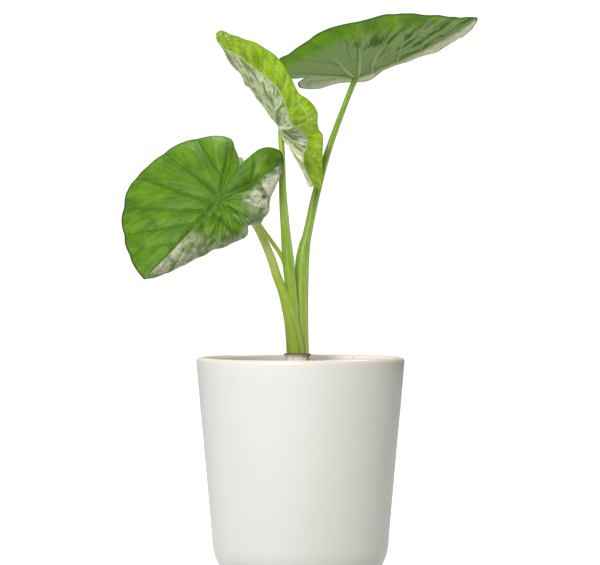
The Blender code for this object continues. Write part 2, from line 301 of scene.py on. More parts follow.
glaze, tree, shader = new_material("white_glaze")
place = add_node(tree, "TexCoord").outputs["Object"]
lip_place = add_node(tree, "Attribute", attribute_name="from_lip").outputs["Fac"]
zone = map_range(tree, lip_place, -0.012, 0.012)
# the ramp paints a shade line just inside the crest of the lip
zones = ramp(tree, zone, [
    (0.0, INSIDE_BEIGE_PAINTED_LIGHT), (0.44, INSIDE_BEIGE_PAINTED_LIGHT), (0.465, LIP_SHADE_LINE), (0.495, LIP_CREAM), (0.62, LIP_CREAM),
    (0.80, GLAZE_WHITE), (1.0, GLAZE_WHITE),
])
cloud = noise_node(tree, place, 9.0, 3.0, (1.0, 1.0, 0.35))
warmth = map_range(tree, cloud, 0.45, 0.75, 0.0, 0.35)
clouded = mix_colour(tree, warmth, zones, GLAZE_WARM, "MULTIPLY")
specks = add_node(tree, "TexVoronoi", {"Vector": place, "Scale": 42.0}).outputs["Distance"]
speck = map_range(tree, specks, 0.025, 0.05, 0.55, 0.0)
ripple = noise_node(tree, place, 14.0, 2.0, (1.0, 1.0, 2.2))
fill(tree, shader, {
    "Base Color": mix_colour(tree, speck, clouded, SPECK_BROWN),
    "Roughness": 0.34,
    "Coat Weight": 0.25,
    "Coat Roughness": 0.15,
    "Normal": bump(tree, ripple, 0.25, 1.0 * MM),
})
pot.data.materials.append(glaze)

# Soil
# The fill of the pot: dark potting mix a little below the rim, crumbly, with bits of bark and
# white perlite lying in it. It mounds slightly towards the crown of the plant.
SOIL_LEVEL = 0.169
SOIL_MOUND = 0.002
SOIL_SIDES = 120
SOIL_BANDS = 42
SOIL_ROUGH = 1.1 * MM
SOIL_DEPTH = 0.050
# how many grains, their least and greatest size in millimetres, their flatness and a seed
GRAINS = {
    "soil_crumbs": (900, (0.9, 2.2), (0.6, 1.0), 3),
    "soil_bark": (150, (2.0, 4.2), (0.25, 0.6), 5),
    "soil_perlite": (170, (0.8, 1.9), (0.7, 1.0), 7),
}
CROWN_CENTRE = (-0.0025, -0.001)
SOIL_DARK = (0.030, 0.018, 0.011)
SOIL_LIGHT = (0.115, 0.070, 0.042)
BARK_BROWN = (0.16, 0.085, 0.040)
PERLITE_SHADE = (0.60, 0.57, 0.50)
PERLITE_WHITE = (0.78, 0.76, 0.70)


def soil_height(x, y):
    """The top of the soil: a low mound with lumps of several sizes."""
    radius = math.hypot(x, y)
    mound = SOIL_MOUND * math.exp(-(radius / 0.035) ** 2)
    spot = Vector((x, y, 0.0))
    lumps = noise.fractal(spot * 95.0, 0.9, 2.1, 4) + 0.6 * noise.noise(spot * 30.0)
    return SOIL_LEVEL + mound + SOIL_ROUGH * lumps


soil_edge = wall_radius(SOIL_LEVEL) - POT_WALL - 0.4 * MM
soil_bottom = wall_radius(SOIL_LEVEL - SOIL_DEPTH) - POT_WALL - 0.4 * MM
soil_profile = [(0.0, SOIL_LEVEL)] + straight((0.0, SOIL_LEVEL), (soil_edge, SOIL_LEVEL), SOIL_BANDS)
soil_profile += [(soil_bottom, SOIL_LEVEL - SOIL_DEPTH), (0.0, SOIL_LEVEL - SOIL_DEPTH)]
soil_shape = spun(soil_profile, SOIL_SIDES)
for vert in soil_shape.verts:
    if vert.co.z > SOIL_LEVEL - 0.1 * MM:
        vert.co.z = soil_height(vert.co.x, vert.co.y)
soil = add_piece("soil_bed", soil_shape, "soil", "soil")


def scattered(count, size, squash, seed):
    """Many small rough grains pressed into the top of the soil, as one bmesh."""
    draw = random.Random(seed)
    noise.seed_set(seed)  # or else the noise of the corners would start from the clock
    shape = bmesh.new()
    for _ in range(count):
        spread = soil_edge - 2.5 * MM
        radius = spread * math.sqrt(draw.uniform(0.04, 1.0))
        angle = draw.uniform(0.0, math.tau)
        x, y = radius * math.cos(angle), radius * math.sin(angle)
        grain = draw.uniform(size[0] * MM, size[1] * MM)
        turn = Matrix.Rotation(draw.uniform(0, math.tau), 4, draw.choice("XYZ"))
        turn = Matrix.Rotation(draw.uniform(0, math.tau), 4, "Z") @ turn
        wide, high = grain * draw.uniform(*squash), grain * draw.uniform(*squash)
        shift = Matrix.Translation((x, y, soil_height(x, y) + grain * 0.15))
        placed = shift @ turn @ Matrix.Diagonal((grain, wide, high, 1.0))
        made = bmesh.ops.create_icosphere(shape, subdivisions=1, radius=1.0, matrix=placed)
        for vert in made["verts"]:
            vert.co += noise.noise_vector(vert.co * 700.0) * grain * 0.28
    return shape


def soil_finish(name, dark, light, scale):
    """Rough earth or bark: dark and light patches with a grainy relief."""
    material, tree, shader = new_material(name)
    place = add_node(tree, "TexCoord").outputs["Object"]
    patches = noise_node(tree, place, scale, 5.0)
    grain = noise_node(tree, place, scale * 4.0, 4.0)
    fill(tree, shader, {
        "Base Color": ramp(tree, patches, [(0.35, dark), (0.72, light)]),
        "Roughness": 0.95,
        "Specular IOR Level": 0.25,
        "Normal": bump(tree, grain, 0.8, 0.6 * MM),
    })
    return material


earth = soil_finish("potting_soil", SOIL_DARK, SOIL_LIGHT, 260.0)
soil.data.materials.append(earth)
grain_finishes = {
    "soil_crumbs": earth,
    "soil_bark": soil_finish("bark_chip", SOIL_LIGHT, BARK_BROWN, 420.0),
    "soil_perlite": soil_finish("perlite_grain", PERLITE_SHADE, PERLITE_WHITE, 500.0),
}
for name, given in GRAINS.items():
    grains = add_piece(name, scattered(*given), "soil")
    grains.data.materials.append(grain_finishes[name])

# Crown
# The short stock that the stems grow from: a stub ringed by the scars of old leaves, wrapped in
# the pale, papery remains of their sheaths, with a dark frayed collar, and set in the soil.
CROWN_RADIUS = 0.0112
CROWN_TOP = 0.1872
CROWN_FOOT = 0.150
CROWN_RINGS = 3
RING_PITCH = 0.0068
RING_DEPTH = 0.0012
CROWN_SIDES = 96
HUSK_DARK = (0.68, 0.59, 0.46)
HUSK_PALE = (0.90, 0.84, 0.72)
COLLAR_BROWN = (0.20, 0.17, 0.06)
COLLAR_DEPTH = 0.0016

waist = CROWN_RADIUS - RING_DEPTH
crown_profile = [(0.0, CROWN_TOP)] + straight((0.0, CROWN_TOP), (CROWN_RADIUS - 0.4 * MM, CROWN_TOP), 4)
for ring in range(CROWN_RINGS):
    upper = CROWN_TOP - ring * RING_PITCH
    crown_profile += [(CROWN_RADIUS, upper - 0.4 * MM), (CROWN_RADIUS, upper - 1.4 * MM)]
    crown_profile += [(waist, upper - 2.4 * MM)]
    crown_profile += straight((waist, upper - 2.4 * MM), (waist, upper - RING_PITCH + 1.0 * MM), 3)
crown_profile += [(waist - 1.0 * MM, CROWN_FOOT + 6.0 * MM), (waist - 5.0 * MM, CROWN_FOOT)]
crown_profile.append((0.0, CROWN_FOOT))
crown_shape = spun(crown_profile, CROWN_SIDES, CROWN_CENTRE)
for vert in crown_shape.verts:
    out = Vector((vert.co.x - CROWN_CENTRE[0], vert.co.y - CROWN_CENTRE[1], 0.0))
    if out.length > 8.0 * MM:
        fibre = noise.noise(Vector((vert.co.x * 420.0, vert.co.y * 420.0, vert.co.z * 60.0)))
        vert.co += out.normalized() * (fibre - 0.4) * 0.5 * MM
crown = add_piece("crown_stock", crown_shape, "husk", "crown")

husk, tree, shader = new_material("papery_husk")
place = add_node(tree, "TexCoord").outputs["Object"]
fibres = noise_node(tree, place, 300.0, 4.0, (1.0, 1.0, 0.12))
husk_tone = ramp(tree, fibres, [(0.30, HUSK_DARK), (0.70, HUSK_PALE)])
height = add_node(tree, "SeparateXYZ", {"Vector": place}).outputs["Z"]
collar_foot = CROWN_TOP - COLLAR_DEPTH
collar = map_range(tree, height, collar_foot, collar_foot + 0.4 * COLLAR_DEPTH)
fill(tree, shader, {
    "Base Color": mix_colour(tree, collar, husk_tone, COLLAR_BROWN),
    "Roughness": 0.8,
    "Normal": bump(tree, fibres, 0.7, 0.5 * MM),
})
crown.data.materials.append(husk)

# Stems
# Four fleshy leaf stalks, pale green and finely ribbed along their length. Each opens into a sheath
# at its foot that clasps the younger stalk inside it, and tapers up to the joint with its leaf.
STEM_FOOT = CROWN_TOP + 0.3 * MM
STEM_GAP = 0.0003
STEM_SIDES = 40
STEM_STEPS = 130
RIDGES = 13
RIDGE_HEIGHT = 0.10 * MM
STEMS = {
    "left": [
        (-3.6, -4.5, 178, 7.6), (-4.6, -4.8, 195, 7.2), (-6.8, -5.2, 210, 6.2), (-10, -6, 223, 5.0),
        (-14.2, -7, 237, 4.0), (-19.5, -8, 251, 3.6), (-24, -9, 265, 3.4), (-30.2, -10, 279.5, 3.1),
        (-37.5, -12, 292.4, 2.5), (-47, -17.5, 302, 2.2), (-57, -30, 306.5, 2.1),
        (-62.6, -42.6, 310.3, 1.7),
    ],
    "middle": [
        (-3.5, 0, 178, 4.5), (-5.5, -2, 215, 4.6), (-8.3, -4, 244.6, 4.6), (-10, -5, 261.7, 4.8),
        (-12.3, -8, 287.7, 3.8), (-14.3, -11, 316, 3.1), (-15.3, -14, 352.6, 2.4), (-16, -15, 366.3, 2.2),
        (-15.8, -15, 369.3, 2.2),
    ],
    "right": [
        (0.8, 2.4, 178, 6.2), (0.7, 2.8, 215, 5.6), (0.9, 5, 244, 5.6), (1.4, 7, 262, 5.6),
        (3.2, 9, 275, 4.7), (5.4, 11, 284, 3.7), (12.4, 20, 316.5, 3.4), (23.3, 33, 355.3, 2.7),
        (38.9, 52, 398.4, 2.2), (46.2, 59, 416.4, 2.4), (46.6, 59.5, 417.4, 2.4),
    ],
    "young": [
        (-4.5, 8, 178, 2.2), (-6.5, 8, 222, 2.2), (-10, 7.5, 250, 1.9), (-16, 6.5, 267, 1.8),
        (-24.5, 6, 279.6, 1.7), (-33.2, 5.5, 292, 1.6), (-41.5, 3, 306, 1.5), (-46.3, 1.8, 317.6, 1.5),
    ],
}
# pairs of stems, of which the first clasps the second
CLASPS = [("right", "middle"), ("right", "young"), ("left", "middle"), ("left", "right")]
STEM_COLOURS = {
    # the left stalk's last colour, at its top, is painted pale: painted light where the leaf's shadow falls
    # on it
    "left": [(0.235, 0.335, 0.016), (0.32, 0.445, 0.030), (0.92, 0.97, 0.420)],
    "middle": [(0.30, 0.44, 0.035), (0.22, 0.38, 0.014), (0.34, 0.51, 0.070)],
    "right": [(0.32, 0.45, 0.050), (0.19, 0.32, 0.014), (0.17, 0.31, 0.008)],
    "young": [(0.40, 0.58, 0.070), (0.52, 0.68, 0.080), (0.56, 0.70, 0.100)],
}
STEM_STRIPE = (0.62, 0.76, 0.26)
STEM_BLOTCH = (0.70, 0.80, 0.55)


def curve_at(given, place):
    """A smooth curve through the given rows, at a place from 0 to 1 along it."""
    gaps = np.linalg.norm(np.diff(given[:, :3], axis=0), axis=1) ** 0.5
    knots = np.concatenate([[0.0], np.cumsum(gaps)]) / gaps.sum()
    last = len(given) - 1
    index = min(max(int(np.searchsorted(knots, place, side="right")) - 1, 0), last - 1)

    def slope(i):
        before, after = max(i - 1, 0), min(i + 1, last)
        return (given[after] - given[before]) / (knots[after] - knots[before])

    width = knots[index + 1] - knots[index]
    t = (place - knots[index]) / width
    return (
        (2 * t**3 - 3 * t**2 + 1) * given[index]
        + (t**3 - 2 * t**2 + t) * width * slope(index)
        + (3 * t**2 - 2 * t**3) * given[index + 1]
        + (t**3 - t**2) * width * slope(index + 1)
    )


def stem_shape(points, extra=0.0, reach=0.0):
    """A ribbed, tapered tube along the points, closed at both ends and cut level at its foot."""
    given = np.array(points, float)
    shape = bmesh.new()
    bmesh.ops.create_grid(shape, x_segments=STEM_SIDES, y_segments=STEM_STEPS, size=1.0)
    across = Vector((1.0, 0.0, 0.0))
    rings = []
    for step in range(STEM_STEPS + 1):
        place = step / STEM_STEPS
        x, y, z, radius = curve_at(given, place)
        ahead = curve_at(given, min(place + 0.01, 1.0)) - curve_at(given, max(place - 0.01, 0.0))
        along = Vector(ahead[:3]).normalized()
        across = (across - along * across.dot(along)).normalized()
        rings.append((Vector((x, y, z)) * MM, across.copy(), along.cross(across), radius * MM + extra))
    uv = shape.loops.layers.uv.new("sleeve")
    for face in shape.faces:
        for loop in face.loops:
            loop[uv].uv = ((loop.vert.co.x + 1.0) / 2.0, (loop.vert.co.y + 1.0) / 2.0)
    for vert in shape.verts:
        step = round((vert.co.y + 1.0) / 2.0 * STEM_STEPS)
        angle = (vert.co.x + 1.0) * math.pi
        centre, side, front, radius = rings[step]
        ridge = RIDGE_HEIGHT * math.cos(RIDGES * angle) if extra == 0.0 else 0.0
        vert.co = centre + (side * math.cos(angle) + front * math.sin(angle)) * (radius + ridge)
    bmesh.ops.remove_doubles(shape, verts=shape.verts, dist=0.01 * MM)
    bmesh.ops.holes_fill(shape, edges=[e for e in shape.edges if e.is_boundary])
    bmesh.ops.bisect_plane(shape, geom=shape.verts[:] + shape.edges[:] + shape.faces[:],
                           plane_co=(0, 0, STEM_FOOT - reach), plane_no=(0, 0, -1), clear_outer=True)
    bmesh.ops.holes_fill(shape, edges=[e for e in shape.edges if e.is_boundary])
    bmesh.ops.recalc_face_normals(shape, faces=shape.faces)
    return shape


def baked(piece):
    """Puts what the piece's modifiers do into its mesh and takes them off."""
    graph = bpy.context.evaluated_depsgraph_get()
    mesh = bpy.data.meshes.new_from_object(piece.evaluated_get(graph))
    piece.modifiers.clear()
    piece.data = mesh


def stem_finish(name, colours):
    """Juicy stalk skin: paler at the foot, with fine light stripes along it and a waxy shine."""
    material, tree, shader = new_material(name)
    sleeve = add_node(tree, "UVMap", uv_map="sleeve").outputs["UV"]
    along = add_node(tree, "SeparateXYZ", {"Vector": sleeve}).outputs["Y"]
    tone = ramp(tree, along, list(zip((0.0, 0.45, 0.85), colours)))
    stripes = noise_node(tree, sleeve, 6.0, 4.0, (4.0, 1.2, 1.0))
    stripe = map_range(tree, stripes, 0.48, 0.72, 0.0, 0.40)
    tone = mix_colour(tree, stripe, tone, STEM_STRIPE)
    blotches = noise_node(tree, sleeve, 5.0, 3.0, (1.0, 5.0, 1.0))
    shade = map_range(tree, blotches, 0.35, 0.65, 0.0, 0.35)
    fill(tree, shader, {
        "Base Color": mix_colour(tree, shade, tone, STEM_BLOTCH, "MULTIPLY"),
        "Roughness": 0.50,
        "Subsurface Weight": 0.30,
        "Subsurface Radius": (0.005, 0.007, 0.002),
        "Subsurface Scale": 1.0,
        "Normal": bump(tree, stripes, 0.35, 0.3 * MM),
    })
    return material


stems = {}
for name, points in STEMS.items():
    stems[name] = add_piece("stalk_" + name, stem_shape(points), "stem", "petiole_" + name)
for outer, inner in CLASPS:
    space = shape_object("space", stem_shape(STEMS[inner], STEM_GAP, 3.0 * MM))
    cut = stems[outer].modifiers.new("clasp", "BOOLEAN")
    cut.operation = "DIFFERENCE"
    cut.solver = "EXACT"
    cut.object = space
    baked(stems[outer])
    bpy.data.objects.remove(space)
for name, stem in stems.items():
    stem.data.materials.clear()
    stem.data.materials.append(stem_finish("stalk_skin_" + name, STEM_COLOURS[name]))
    stem.data.shade_smooth()
    stem.data.set_sharp_from_angle(angle=math.radians(50))

# Leaves
# Heart-shaped blades that hang by a joint a little in from the notch. Each is one thin sheet, waxy
# above and dull below, with sunken veins that stand out as ribs on its underside, and a fine rim.
# It grows from the joint in arched rays, which end at the edge given below.
LEAF_THIN = 0.55 * MM
LEAF_THICK = 2.6 * MM
RIB_THICK = 2.2 * MM
BOSS_REACH = 4.0
FOLD_BLEND = 0.1
EDGE_STEP = 0.02
EDGE_PASSES = 120
NORMAL_PASSES = 6
MIDRIB_WIDTH = 1.15
VEIN_FADE = 0.6
VEIN_STEPS = 40
GROOVE_DEPTH = 0.6 * MM
PILLOW_HEIGHT = 1.5 * MM
EDGE_RIPPLE = 0.8 * MM
EDGE_BULGE = 0.014
FOLD_HEIGHT = 0.6 * MM
CREASE_HEIGHT = 0.9 * MM
FURROW_DEPTH = 2.2 * MM
FURROW_WIDTH = 2.6

# Veins, each as its half-width in millimetres and its points of angle from the midrib and percent
# of the way to the edge
EVEN_VEINS = [
    (0.95, (178, 0), (150, 28), (148, 60), (151, 98)),
    (0.45, (149, 32), (138, 58), (131, 96)),
    (0.40, (149, 55), (160, 78), (166, 97)),
    (0.75, (112, 3), (103, 30), (102, 60), (104, 98)),
    (0.78, (0, 5), (53, 23), (68, 44), (74, 70), (79, 98)),
    (0.70, (0, 18), (35, 43), (48, 73), (55, 98)),
    (0.60, (0, 34), (19, 57), (29, 81), (34, 98)),
    (0.50, (0, 54), (11, 73), (19, 97)),
    (0.40, (0, 74), (6, 85), (9, 97)),
]
LEFT_FIRST_VEINS = [
    (0.95, (178, 0), (154, 26), (157, 58), (155, 98)),
    (0.50, (155, 30), (147, 36), (136, 57), (130, 97)),
    (0.85, (114, 3), (103, 29), (102, 52), (104, 98)),
    (0.80, (0, 5), (53, 23), (68, 44), (74, 69), (78, 98)),
    (0.75, (3, 19), (35, 43), (48, 73), (55, 98)),
    (0.60, (2, 34), (19, 57), (29, 81), (33, 98)),
    (0.40, (1, 58), (12, 75), (19, 97)),
]
LEFT_SECOND_VEINS = [
    (0.95, (150, 0), (149, 24), (147, 50), (147, 98)),
    (0.40, (147, 42), (160, 65), (168, 96)),
    (0.45, (112, 5), (124, 35), (126, 96)),
    (0.60, (40, 10), (84, 22), (88, 55), (86, 97)),
    (0.70, (0, 10), (12, 20), (42, 40), (63, 71), (70, 98)),
    (0.60, (0, 25), (7, 37), (17, 58), (25, 98)),
    (0.50, (0, 50), (5, 62), (7, 74), (9, 97)),
]
NEAR_WING_VEINS = [
    (1.00, (155, 0), (154, 25), (148, 60), (150, 80), (153, 98)),
    (0.80, (146, 0), (140, 20), (134, 45), (130, 96)),
    (0.45, (148, 55), (158, 75), (166, 97)),
    (1.10, (90, 0), (92, 35), (94, 65), (96, 98)),
    (1.00, (0, 3), (41, 21), (58, 50), (67, 82), (66, 98)),
    (0.70, (0, 10), (24, 24), (31, 50), (37, 83), (38, 98)),
    (0.50, (0, 28), (12, 42), (22, 70), (27, 97)),
    (0.45, (0, 42), (9, 55), (16, 80), (19, 97)),
    (0.40, (0, 58), (6, 70), (11, 97)),
]
FAR_WING_VEINS = [
    (0.90, (150, 0), (146, 30), (146, 60), (150, 97)),
    (0.75, (118, 0), (108, 38), (102, 63), (98, 80), (92, 98)),
    (0.60, (98, 80), (84, 79), (72, 86), (66, 97)),
    (0.80, (0, 4), (48, 25), (60, 50), (66, 75)),
    (0.70, (0, 14), (35, 35), (47, 60), (50, 81), (50, 98)),
    (0.60, (0, 30), (18, 50), (28, 75), (31, 98)),
    (0.50, (0, 46), (10, 62), (17, 85), (19, 98)),
    (0.40, (0, 62), (6, 75), (10, 97)),
]
RIGHT_FIRST_VEINS = [
    (0.80, (150, 0), (148, 30), (150, 60), (152, 97)),
    (0.66, (105, 0), (101, 15), (96, 44), (99, 77), (100, 96)),
    (0.40, (98, 34), (112, 52), (122, 75), (127, 97)),
    (0.75, (0, 2), (51, 12), (60, 40), (64, 80), (65, 98)),
    (0.70, (0, 13), (28, 26), (37, 49), (41, 80), (42, 98)),
    (0.60, (0, 33), (14, 47), (21, 65), (23, 98)),
    (0.50, (0, 52), (8, 65), (12, 97)),
    (0.40, (0, 70), (5, 82), (7, 97)),
]

ALL_OVER = [(0, 1.2), (180, 1.2)]

# Two halves of a leaf have an edge each, from the tip round to the notch, as x, y, z and the arch of
# the blade on the way there, in millimetres. Veins, crumple and bloom are for the first half and then
# the second. Crumple is the share of the way to the edge where it begins, its strength and the angle
# where it ends. Bloom is angle and the share where the dull wax with its painted reflection ends.
# Silver is a painted sheen on the second half: angle, the share where it begins and its strength.
# Furrow is the half that it lies on, 1 or -1, and its points as for a vein.
LEAVES = {
    "left": {
        "joint": (-63.5, -46, 312),
        "turn": -1,
        "mesh": (400, 84),
        "veins": (LEFT_FIRST_VEINS, LEFT_SECOND_VEINS),
        "furrow": (-1, [(40, 12), (81, 21), (96, 32), (98, 46), (101, 68), (103, 97)]),
        "crumple": ((0.55, 0.12, 180), (0.15, 1.0, 165)),
        "bloom": ([(0, 0.6), (180, 0.6)], ALL_OVER),
        "silver": [
            (0, 0.42, 0.85), (18, 0.55, 0.70), (60, 0.62, 0.50), (85, 0.48, 0.65), (100, 0.38, 0.90),
            (125, 0.32, 1.0), (138, 0.40, 1.0), (144, 0.55, 0.9), (153, 0.95, 0.0), (180, 1.2, 0.0),
        ],
        "first": [
            (-123, -75, 247, 3), (-135, -59, 266, 4), (-142, -41, 291, 5), (-141, -28, 311, 5),
            (-135, -19, 327, 5), (-122, -14, 340, 5), (-106, -9, 353.5, 5), (-90, -8, 360.5, 5),
            (-75, -10, 363, 4), (-64, -10, 364, 4), (-56, -12, 361, 3), (-53, -16, 353, 2),
            (-50, -22, 344, 1), (-50, -31, 335, 0),
        ],
        "second": [
            (-123, -75, 247, 3), (-111, -62, 250.5, 7), (-99, -50, 256, 11), (-85, -37, 264, 14),
            (-72, -33, 271, 17), (-58, -30, 275.5, 20), (-49, -29, 279, 21), (-44, -29, 284.5, 21),
            (-42, -29, 290.5, 21), (-37, -28, 293.5, 22), (-32, -27, 293, 22), (-27.5, -26, 297.5, 21),
            (-26, -25, 305, 20), (-24.5, -24, 312, 19), (-20, -24, 324, 16), (-15.5, -23, 334, 12),
            (-13.5, -23, 343, 7), (-16, -29, 350, 3), (-24, -31, 353, 2), (-32, -32, 352, 1),
            (-40, -33, 347, 1), (-45, -34, 340, 0), (-50, -31, 335, 0),
        ],
    },
    "middle": {
        "joint": (-15.5, -15, 371.5),
        "turn": 1,
        "mesh": (400, 84),
        "veins": (NEAR_WING_VEINS, FAR_WING_VEINS),
        "furrow": (-1, [(120, 25), (116, 57), (117, 70), (112, 98)]),
        "crumple": ((0.05, 1.0, 180), (0.15, 0.55, 180)),
        "bloom": (ALL_OVER, ALL_OVER),
        "silver": [],
        "first": [
            (-69, -10, 448, -1), (-65, -24, 436, -1), (-48, -38, 425, -2), (-34, -46, 414, -3),
            (-23, -50, 404, -4), (-15, -52, 395, -4), (-11, -52, 383, -4), (-7, -52, 372, -4),
            (0, -48, 367, -4), (6, -43, 360.5, -4), (6, -38, 354, -4), (3, -34, 348.5, -3),
            (3, -29, 340, -3), (6, -26, 331.5, -2), (11, -23, 323, -1), (7, -21, 323, 0), (3, -19, 334, 0),
            (-3, -13, 348, 0),
        ],
        "second": [
            (-69, -10, 448, -1), (-64, -3, 450, -1), (-54, 6, 447, -2), (-42, 13, 444, -4),
            (-27, 18, 437, -5), (-17, 19, 428, -5), (-10, 19, 418, -6), (-5, 19, 408, -5),
            (0, 19, 400, -5), (7, 19, 395, -4), (14, 19, 386, -4), (14, 17, 376, -4), (18, 14, 366, -3),
            (18, 9, 354, -3), (18, 4, 343, -2), (18, -2, 331, -1), (16, -7, 322, 0), (10, -10, 324, 0),
            (3, -11, 335, 0), (-3, -13, 348, 0),
        ],
    },
    "right": {
        "joint": (47, 60, 418.5),
        "turn": -1,
        "mesh": (400, 84),
        "veins": (RIGHT_FIRST_VEINS, EVEN_VEINS),
        "furrow": (1, []),
        "crumple": ((0.36, 1.0, 85), (0.30, 0.25, 180)),
        "bloom": (
            [(0, 1.1), (14, 0.98), (23, 0.88), (38, 0.77), (68, 0.77), (99, 0.76), (145, 0.87), (180, 1)],
            ALL_OVER,
        ),
        "silver": [(0, 0.02, 0.95), (50, 0.02, 0.95), (85, 0.1, 0.8), (120, 0.2, 0.6), (180, 0.3, 0.45)],
        "first": [
            (146, 11, 463, -4), (134, 6, 462, -4), (122, 1, 462, -4), (97, -7, 463, -3), (73, -11, 463, -3),
            (56, -11, 459, -3), (32, -8, 454, -3), (16, 0, 449, -3), (4, 9, 442, -2), (-6, 20, 436, -2),
            (-17, 33, 431, -2), (-20, 43, 424, -1), (-16, 53, 418, 0), (-7, 61, 417, 0), (6, 70, 419, 0),
        ],
        "second": [
            (146, 11, 463, -4), (145, 26, 460, -2), (141, 50, 455, 0), (134, 75, 452, 2), (124, 98, 448, 3),
            (115, 114, 444, 4), (104, 125, 442, 5), (92, 133, 438, 5), (79, 139, 435, 5), (70, 141, 430, 5),
            (59, 140, 423, 5), (45, 136, 421, 5), (31, 130, 419, 4), (15, 118, 414, 4), (1, 104, 413, 3),
            (-2, 94, 416, 2), (1, 84, 418, 1), (6, 70, 419, 0),
        ],
    },
    "young": {
        "joint": (-47, 4, 319),
        "turn": 1,
        "mesh": (200, 42),
        "veins": (EVEN_VEINS, EVEN_VEINS),
        "furrow": (1, []),
        "crumple": ((0.3, 0.3, 180), (0.3, 0.3, 180)),
        "bloom": ([(0, 0.8), (180, 0.8)], [(0, 0.8), (180, 0.8)]),
        "silver": [],
        "first": [
            (-76, -3, 285, 1), (-80, 4, 298, 2), (-77, 10, 313, 2), (-70, 13, 327, 2), (-60, 14, 338, 2),
            (-52, 13, 347, 2), (-48, 11, 347.5, 1), (-46, 9, 341, 0),
        ],
        "second": [
            (-76, -3, 285, 1), (-64, 6, 286, 2), (-53, 12, 291, 2), (-44, 17, 302, 2), (-38, 18, 315, 2),
            (-36, 17, 328, 2), (-37, 15, 339, 2), (-41, 12, 346.5, 1), (-46, 9, 341, 0),
        ],
    },
}


def smooth_step(value, start, end):
    """Rises softly from 0 at start to 1 at end."""
    t = np.clip((value - start) / (end - start), 0.0, 1.0)
    return t * t * (3.0 - 2.0 * t)


def edge_table(leaf, columns):
    """Round the edge from notch to tip to notch: rays in millimetres, arches, upward directions,
    lengths and angles in the flattened leaf."""
    turns = np.linspace(-1.0, 1.0, columns + 1)
    outs, arches, ups = [], [], []
    for turn in turns:
        half = "first" if turn >= 0.0 else "second"
        side = leaf["turn"] if half == "first" else -leaf["turn"]
        here = curve_at(leaf[half], abs(turn))
        ahead = curve_at(leaf[half], min(abs(turn) + EDGE_STEP, 1.0))[:3]
        behind = curve_at(leaf[half], max(abs(turn) - EDGE_STEP, 0.0))[:3]
        out = here[:3] - leaf["joint"]
        up = np.cross(out, ahead - behind) * side
        outs.append(out)
        arches.append(here[3])
        ups.append(up / np.linalg.norm(up))
    outs, arches, ups = np.array(outs), np.array(arches), np.array(ups)
    middle = columns // 2
    tip_up = ups[middle - 1] + ups[middle + 1]
    share = np.clip(np.abs(turns) / FOLD_BLEND, 0.0, 1.0)[:, None]
    ups = ups * share + tip_up / np.linalg.norm(tip_up) * (1.0 - share)
    for _ in range(EDGE_PASSES):
        ups[1:-1] = (ups[1:-1] + ups[:-2] + ups[2:]) / 3.0
    ups /= np.linalg.norm(ups, axis=1)[:, None]
    lengths = np.linalg.norm(outs, axis=1)
    units = outs / lengths[:, None]
    steps = np.arccos(np.clip((units[1:] * units[:-1]).sum(axis=1), -1.0, 1.0))
    angles = np.concatenate([[0.0], np.cumsum(steps)])
    angles -= angles[middle]
    angles[:middle] *= math.pi / -angles[0]
    angles[middle:] *= math.pi / angles[-1]
    return outs, arches, ups, lengths, angles


def flat_line(points, way, outline):
    """A smooth line through points of angle and percent, as flat places with the tip on +X."""
    angles, lengths = outline
    turns = np.radians([angle * way for angle, _ in points])
    far = np.array([percent for _, percent in points]) / 100.0 * np.interp(turns, angles, lengths)
    corners = np.column_stack([far * np.cos(turns), far * np.sin(turns), np.zeros(len(points))])
    return np.array([curve_at(corners, place)[:2] for place in np.linspace(0.0, 1.0, VEIN_STEPS)])


def vein_lines(veins, outline, reach):
    """The midrib and all side veins of a leaf, as rows of flat place and half-width."""
    rib = np.linspace(0.0, reach * 0.995, 90)
    fade = 1.0 - VEIN_FADE * np.linspace(0.0, 1.0, VEIN_STEPS)
    lines = [np.column_stack([rib, rib * 0.0, MIDRIB_WIDTH * (1.0 - 0.7 * rib / reach)])]
    for way, table in zip((1, -1), veins):
        for width, *points in table:
            lines.append(np.column_stack([flat_line(points, way, outline), width * fade]))
    return lines


def line_distance(flat, line):
    """For flat points: how far the line is, and the line's half-width there."""
    near = np.full(len(flat), 1e3)
    wide = np.full(len(flat), 0.5)
    for a, b in zip(line[:-1], line[1:]):
        run = b[:2] - a[:2]
        t = np.clip(((flat - a[:2]) @ run) / max(run @ run, 1e-9), 0.0, 1.0)
        gap = np.hypot(flat[:, 0] - a[0] - run[0] * t, flat[:, 1] - a[1] - run[1] * t)
        closer = gap < near
        near = np.where(closer, gap, near)
        wide = np.where(closer, a[2] + (b[2] - a[2]) * t, wide)
    return near, wide


def vein_distances(flat, lines):
    """For flat points: the nearest vein's distance and half-width, and the next nearest distance."""
    best = np.full(len(flat), 1e3)
    second = np.full(len(flat), 1e3)
    widths = np.full(len(flat), 0.5)
    for line in lines:
        near, wide = line_distance(flat, line)
        closer = near < best
        second = np.where(closer, best, np.minimum(second, near))
        widths = np.where(closer, wide, widths)
        best = np.where(closer, near, best)
    return best, widths, second


def surface_ups(points, ups):
    """Smoothed upward directions of the grid of points, whose first and last columns meet."""
    across = np.roll(points[:-1], -1, axis=0) - np.roll(points[:-1], 1, axis=0)
    along = np.gradient(points[:-1], axis=1)
    normal = np.cross(across, along)
    normal *= np.sign((normal * ups[:-1, None, :]).sum(axis=2, keepdims=True).mean())
    normal[:, 0] = normal[:, 1:4].sum(axis=(0, 1))
    normal /= np.maximum(np.linalg.norm(normal, axis=2, keepdims=True), 1e-12)
    for _ in range(NORMAL_PASSES):
        normal = normal + np.roll(normal, 1, axis=0) + np.roll(normal, -1, axis=0)
        normal[:, 1:-1] += normal[:, :-2] + normal[:, 2:]
        normal /= np.linalg.norm(normal, axis=2, keepdims=True)
    return np.concatenate([normal, normal[:1]])


